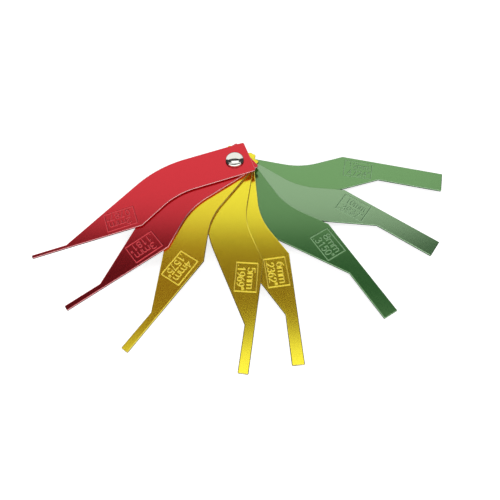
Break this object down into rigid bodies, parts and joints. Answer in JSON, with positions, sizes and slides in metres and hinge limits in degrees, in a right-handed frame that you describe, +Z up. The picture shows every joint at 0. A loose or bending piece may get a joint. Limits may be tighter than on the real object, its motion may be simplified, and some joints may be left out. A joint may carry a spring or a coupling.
{
  "type": "feeler gauge",
  "caption": "Fan of cranked, colour-coded flat steel blades on one domed rivet; the width of each straight tip strip is its gauge size, for brake linings and slots.",
  "frame": {"origin": "on the rivet's axis, at the flat face of its set tail, where the gauge rests", "axes": "+Z up along the rivet through the stack of blades; +X to the right of the fan, so the blades point from 196 to 343 degrees anticlockwise from +X at rest"},
  "size_m": [0.2228, 0.1318, 0.0154],
  "materials": {
    "red_coat": "satin metallic coat over steel sheet",
    "yellow_coat": "satin metallic coat over steel sheet",
    "green_coat": "satin metallic coat over steel sheet",
    "rivet": "polished nickel plate",
    "washer": "plain steel, zinc plated",
    "shim": "rolled bronze shim"
  },
  "bodies": {
    "pivot": {"pivot_rivet": "rivet", "tail_washer": "washer", "spring_washer": "washer", "slip_washer_1": "shim", "slip_washer_2": "shim", "slip_washer_3": "shim", "slip_washer_4": "shim", "slip_washer_5": "shim", "slip_washer_6": "shim", "slip_washer_7": "shim"},
    "blade_2": {"blade_2mm": "red_coat"},
    "blade_3": {"blade_3mm": "red_coat"},
    "blade_4": {"blade_4mm": "yellow_coat"},
    "blade_5": {"blade_5mm": "yellow_coat"},
    "blade_6": {"blade_6mm": "yellow_coat"},
    "blade_8": {"blade_8mm": "green_coat"},
    "blade_10": {"blade_10mm": "green_coat"},
    "blade_12": {"blade_12mm": "green_coat"}
  },
  "joints": [
    {"name": "blade_2_swing", "type": "hinge", "parent": "pivot", "child": "blade_2", "pos_m": [0, 0, 0], "axis": [0, 0, 1], "continuous": true},
    {"name": "blade_3_swing", "type": "hinge", "parent": "pivot", "child": "blade_3", "pos_m": [0, 0, 0], "axis": [0, 0, 1], "continuous": true},
    {"name": "blade_4_swing", "type": "hinge", "parent": "pivot", "child": "blade_4", "pos_m": [0, 0, 0], "axis": [0, 0, 1], "continuous": true},
    {"name": "blade_5_swing", "type": "hinge", "parent": "pivot", "child": "blade_5", "pos_m": [0, 0, 0], "axis": [0, 0, 1], "continuous": true},
    {"name": "blade_6_swing", "type": "hinge", "parent": "pivot", "child": "blade_6", "pos_m": [0, 0, 0], "axis": [0, 0, 1], "continuous": true},
    {"name": "blade_8_swing", "type": "hinge", "parent": "pivot", "child": "blade_8", "pos_m": [0, 0, 0], "axis": [0, 0, 1], "continuous": true},
    {"name": "blade_10_swing", "type": "hinge", "parent": "pivot", "child": "blade_10", "pos_m": [0, 0, 0], "axis": [0, 0, 1], "continuous": true},
    {"name": "blade_12_swing", "type": "hinge", "parent": "pivot", "child": "blade_12", "pos_m": [0, 0, 0], "axis": [0, 0, 1], "continuous": true}
  ]
}
